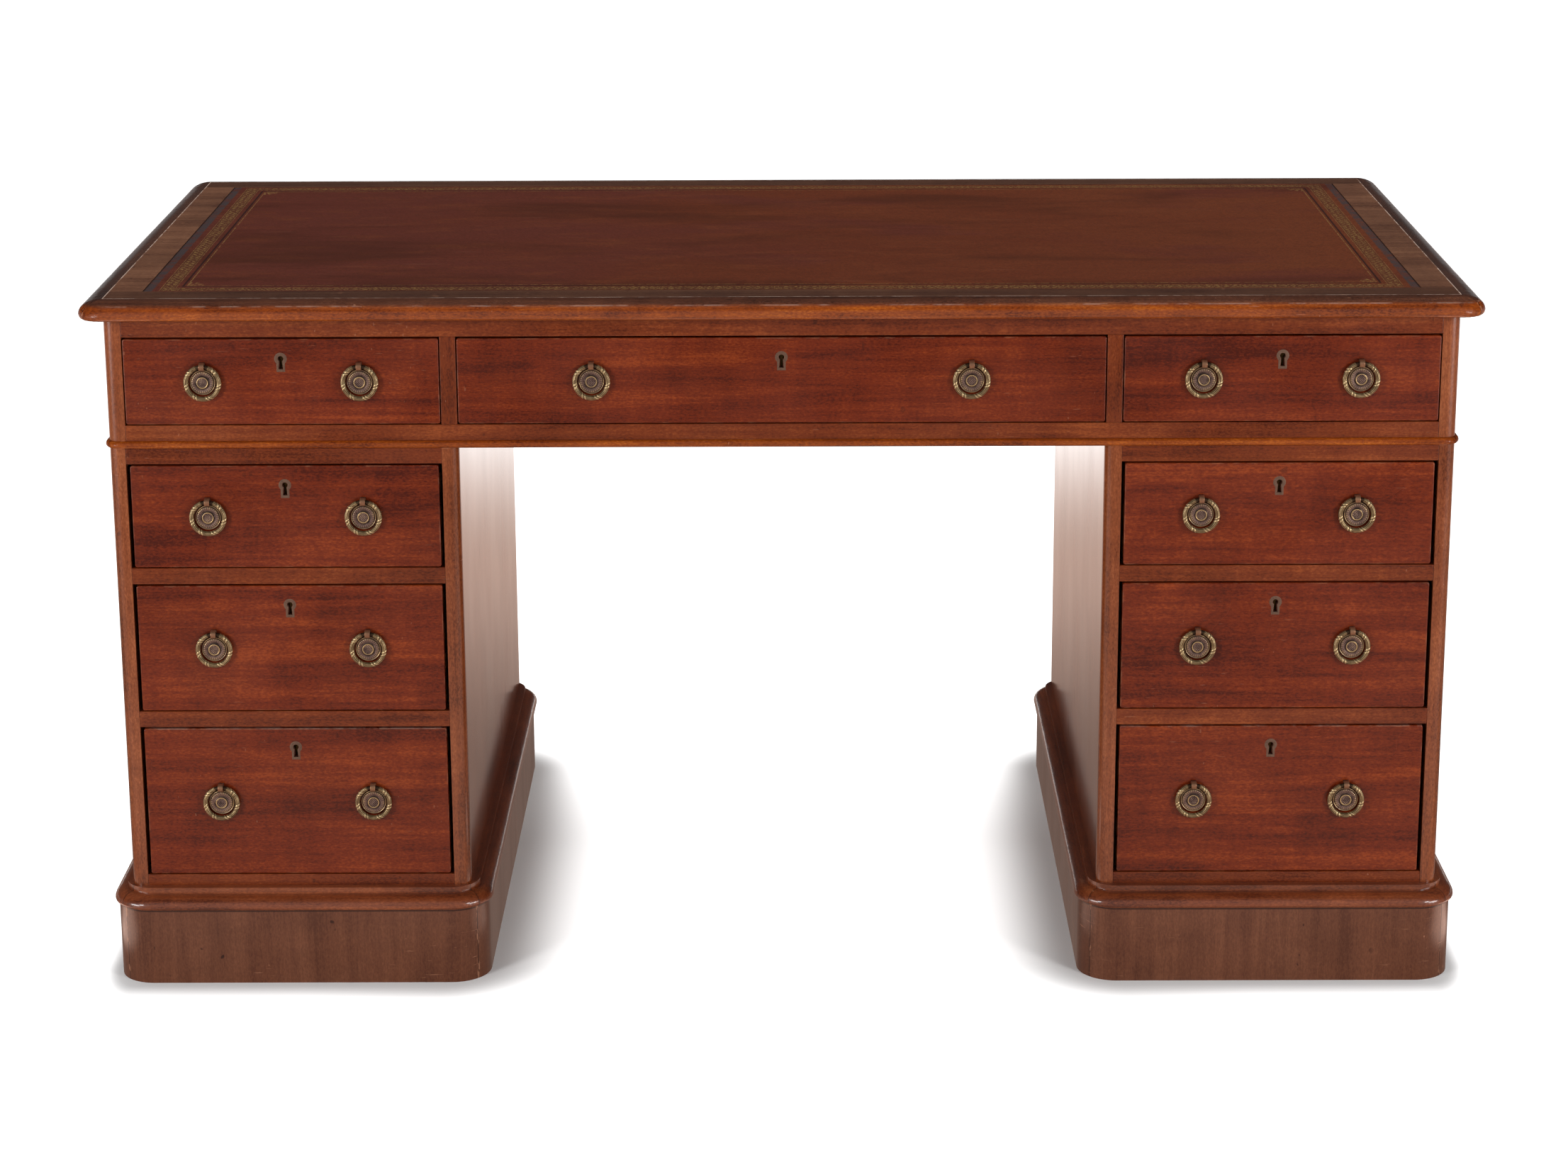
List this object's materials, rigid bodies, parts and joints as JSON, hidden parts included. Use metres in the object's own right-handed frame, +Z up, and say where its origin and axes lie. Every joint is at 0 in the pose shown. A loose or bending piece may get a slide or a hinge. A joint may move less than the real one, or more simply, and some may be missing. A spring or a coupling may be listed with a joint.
{
  "type": "pedestal desk",
  "caption": "Twin-pedestal mahogany writing desk with leather top, frieze and pedestal drawers, brass ring handles and open kneehole.",
  "frame": {"origin": "on the floor, under the middle of the top", "axes": "+X along the width to the sitter's right, +Y from the sitter to the back, +Z up"},
  "size_m": [1.525, 0.76, 0.79],
  "materials": {
    "mahogany": "french-polished gloss",
    "oak_lining": "bare, worn smooth",
    "runner_wood": "bare sawn",
    "tooled_leather": "polished, gilt tooling",
    "brass": "old lacquered, darkened in the hollows"
  },
  "bodies": {
    "desk": {"top_board": "mahogany", "top_edge_moulding": "mahogany", "writing_leather": "tooled_leather", "frieze_ends": "mahogany", "frieze_back": "mahogany", "frieze_front_frame": "mahogany", "frieze_bead": "mahogany", "left_pedestal_sides": "mahogany", "right_pedestal_sides": "mahogany", "pedestal_backs": "mahogany", "pedestal_rails": "mahogany", "left_plinth": "mahogany", "right_plinth": "mahogany", "drawer_runners": "runner_wood", "locating_dowels": "runner_wood"},
    "frieze_left_drawer": {"frieze_left_drawer_front": "mahogany", "frieze_left_drawer_box": "oak_lining", "frieze_left_drawer_brasses": "brass"},
    "frieze_left_ring_left": {"frieze_left_ring_left": "brass"},
    "frieze_left_ring_right": {"frieze_left_ring_right": "brass"},
    "frieze_centre_drawer": {"frieze_centre_drawer_front": "mahogany", "frieze_centre_drawer_box": "oak_lining", "frieze_centre_drawer_brasses": "brass"},
    "frieze_centre_ring_left": {"frieze_centre_ring_left": "brass"},
    "frieze_centre_ring_right": {"frieze_centre_ring_right": "brass"},
    "frieze_right_drawer": {"frieze_right_drawer_front": "mahogany", "frieze_right_drawer_box": "oak_lining", "frieze_right_drawer_brasses": "brass"},
    "frieze_right_ring_left": {"frieze_right_ring_left": "brass"},
    "frieze_right_ring_right": {"frieze_right_ring_right": "brass"},
    "left_top_drawer": {"left_top_drawer_front": "mahogany", "left_top_drawer_box": "oak_lining", "left_top_drawer_brasses": "brass"},
    "left_top_ring_left": {"left_top_ring_left": "brass"},
    "left_top_ring_right": {"left_top_ring_right": "brass"},
    "left_middle_drawer": {"left_middle_drawer_front": "mahogany", "left_middle_drawer_box": "oak_lining", "left_middle_drawer_brasses": "brass"},
    "left_middle_ring_left": {"left_middle_ring_left": "brass"},
    "left_middle_ring_right": {"left_middle_ring_right": "brass"},
    "left_bottom_drawer": {"left_bottom_drawer_front": "mahogany", "left_bottom_drawer_box": "oak_lining", "left_bottom_drawer_brasses": "brass"},
    "left_bottom_ring_left": {"left_bottom_ring_left": "brass"},
    "left_bottom_ring_right": {"left_bottom_ring_right": "brass"},
    "right_top_drawer": {"right_top_drawer_front": "mahogany", "right_top_drawer_box": "oak_lining", "right_top_drawer_brasses": "brass"},
    "right_top_ring_left": {"right_top_ring_left": "brass"},
    "right_top_ring_right": {"right_top_ring_right": "brass"},
    "right_middle_drawer": {"right_middle_drawer_front": "mahogany", "right_middle_drawer_box": "oak_lining", "right_middle_drawer_brasses": "brass"},
    "right_middle_ring_left": {"right_middle_ring_left": "brass"},
    "right_middle_ring_right": {"right_middle_ring_right": "brass"},
    "right_bottom_drawer": {"right_bottom_drawer_front": "mahogany", "right_bottom_drawer_box": "oak_lining", "right_bottom_drawer_brasses": "brass"},
    "right_bottom_ring_left": {"right_bottom_ring_left": "brass"},
    "right_bottom_ring_right": {"right_bottom_ring_right": "brass"}
  },
  "joints": [
    {"name": "frieze_left_drawer_slide", "type": "slide", "parent": "desk", "child": "frieze_left_drawer", "axis": [0, -1, 0], "range_m": [0, 0.45]},
    {"name": "frieze_left_ring_left_swing", "type": "hinge", "parent": "frieze_left_drawer", "child": "frieze_left_ring_left", "pos_m": [-0.6305, -0.3603, 0.71525], "axis": [-1, 0, 0], "range_deg": [0, 170]},
    {"name": "frieze_left_ring_right_swing", "type": "hinge", "parent": "frieze_left_drawer", "child": "frieze_left_ring_right", "pos_m": [-0.4595, -0.3603, 0.71525], "axis": [-1, 0, 0], "range_deg": [0, 170]},
    {"name": "frieze_centre_drawer_slide", "type": "slide", "parent": "desk", "child": "frieze_centre_drawer", "axis": [0, -1, 0], "range_m": [0, 0.45]},
    {"name": "frieze_centre_ring_left_swing", "type": "hinge", "parent": "frieze_centre_drawer", "child": "frieze_centre_ring_left", "pos_m": [-0.207, -0.3603, 0.71525], "axis": [-1, 0, 0], "range_deg": [0, 170]},
    {"name": "frieze_centre_ring_right_swing", "type": "hinge", "parent": "frieze_centre_drawer", "child": "frieze_centre_ring_right", "pos_m": [0.207, -0.3603, 0.71525], "axis": [-1, 0, 0], "range_deg": [0, 170]},
    {"name": "frieze_right_drawer_slide", "type": "slide", "parent": "desk", "child": "frieze_right_drawer", "axis": [0, -1, 0], "range_m": [0, 0.45]},
    {"name": "frieze_right_ring_left_swing", "type": "hinge", "parent": "frieze_right_drawer", "child": "frieze_right_ring_left", "pos_m": [0.4595, -0.3603, 0.71525], "axis": [-1, 0, 0], "range_deg": [0, 170]},
    {"name": "frieze_right_ring_right_swing", "type": "hinge", "parent": "frieze_right_drawer", "child": "frieze_right_ring_right", "pos_m": [0.6305, -0.3603, 0.71525], "axis": [-1, 0, 0], "range_deg": [0, 170]},
    {"name": "left_top_drawer_slide", "type": "slide", "parent": "desk", "child": "left_top_drawer", "axis": [0, -1, 0], "range_m": [0, 0.45]},
    {"name": "left_top_ring_left_swing", "type": "hinge", "parent": "left_top_drawer", "child": "left_top_ring_left", "pos_m": [-0.6315, -0.3603, 0.5625], "axis": [-1, 0, 0], "range_deg": [0, 170]},
    {"name": "left_top_ring_right_swing", "type": "hinge", "parent": "left_top_drawer", "child": "left_top_ring_right", "pos_m": [-0.4605, -0.3603, 0.5625], "axis": [-1, 0, 0], "range_deg": [0, 170]},
    {"name": "left_middle_drawer_slide", "type": "slide", "parent": "desk", "child": "left_middle_drawer", "axis": [0, -1, 0], "range_m": [0, 0.45]},
    {"name": "left_middle_ring_left_swing", "type": "hinge", "parent": "left_middle_drawer", "child": "left_middle_ring_left", "pos_m": [-0.6315, -0.3603, 0.41025], "axis": [-1, 0, 0], "range_deg": [0, 170]},
    {"name": "left_middle_ring_right_swing", "type": "hinge", "parent": "left_middle_drawer", "child": "left_middle_ring_right", "pos_m": [-0.4605, -0.3603, 0.41025], "axis": [-1, 0, 0], "range_deg": [0, 170]},
    {"name": "left_bottom_drawer_slide", "type": "slide", "parent": "desk", "child": "left_bottom_drawer", "axis": [0, -1, 0], "range_m": [0, 0.45]},
    {"name": "left_bottom_ring_left_swing", "type": "hinge", "parent": "left_bottom_drawer", "child": "left_bottom_ring_left", "pos_m": [-0.6315, -0.3603, 0.2295], "axis": [-1, 0, 0], "range_deg": [0, 170]},
    {"name": "left_bottom_ring_right_swing", "type": "hinge", "parent": "left_bottom_drawer", "child": "left_bottom_ring_right", "pos_m": [-0.4605, -0.3603, 0.2295], "axis": [-1, 0, 0], "range_deg": [0, 170]},
    {"name": "right_top_drawer_slide", "type": "slide", "parent": "desk", "child": "right_top_drawer", "axis": [0, -1, 0], "range_m": [0, 0.45]},
    {"name": "right_top_ring_left_swing", "type": "hinge", "parent": "right_top_drawer", "child": "right_top_ring_left", "pos_m": [0.4605, -0.3603, 0.5625], "axis": [-1, 0, 0], "range_deg": [0, 170]},
    {"name": "right_top_ring_right_swing", "type": "hinge", "parent": "right_top_drawer", "child": "right_top_ring_right", "pos_m": [0.6315, -0.3603, 0.5625], "axis": [-1, 0, 0], "range_deg": [0, 170]},
    {"name": "right_middle_drawer_slide", "type": "slide", "parent": "desk", "child": "right_middle_drawer", "axis": [0, -1, 0], "range_m": [0, 0.45]},
    {"name": "right_middle_ring_left_swing", "type": "hinge", "parent": "right_middle_drawer", "child": "right_middle_ring_left", "pos_m": [0.4605, -0.3603, 0.41025], "axis": [-1, 0, 0], "range_deg": [0, 170]},
    {"name": "right_middle_ring_right_swing", "type": "hinge", "parent": "right_middle_drawer", "child": "right_middle_ring_right", "pos_m": [0.6315, -0.3603, 0.41025], "axis": [-1, 0, 0], "range_deg": [0, 170]},
    {"name": "right_bottom_drawer_slide", "type": "slide", "parent": "desk", "child": "right_bottom_drawer", "axis": [0, -1, 0], "range_m": [0, 0.45]},
    {"name": "right_bottom_ring_left_swing", "type": "hinge", "parent": "right_bottom_drawer", "child": "right_bottom_ring_left", "pos_m": [0.4605, -0.3603, 0.2295], "axis": [-1, 0, 0], "range_deg": [0, 170]},
    {"name": "right_bottom_ring_right_swing", "type": "hinge", "parent": "right_bottom_drawer", "child": "right_bottom_ring_right", "pos_m": [0.6315, -0.3603, 0.2295], "axis": [-1, 0, 0], "range_deg": [0, 170]}
  ]
}
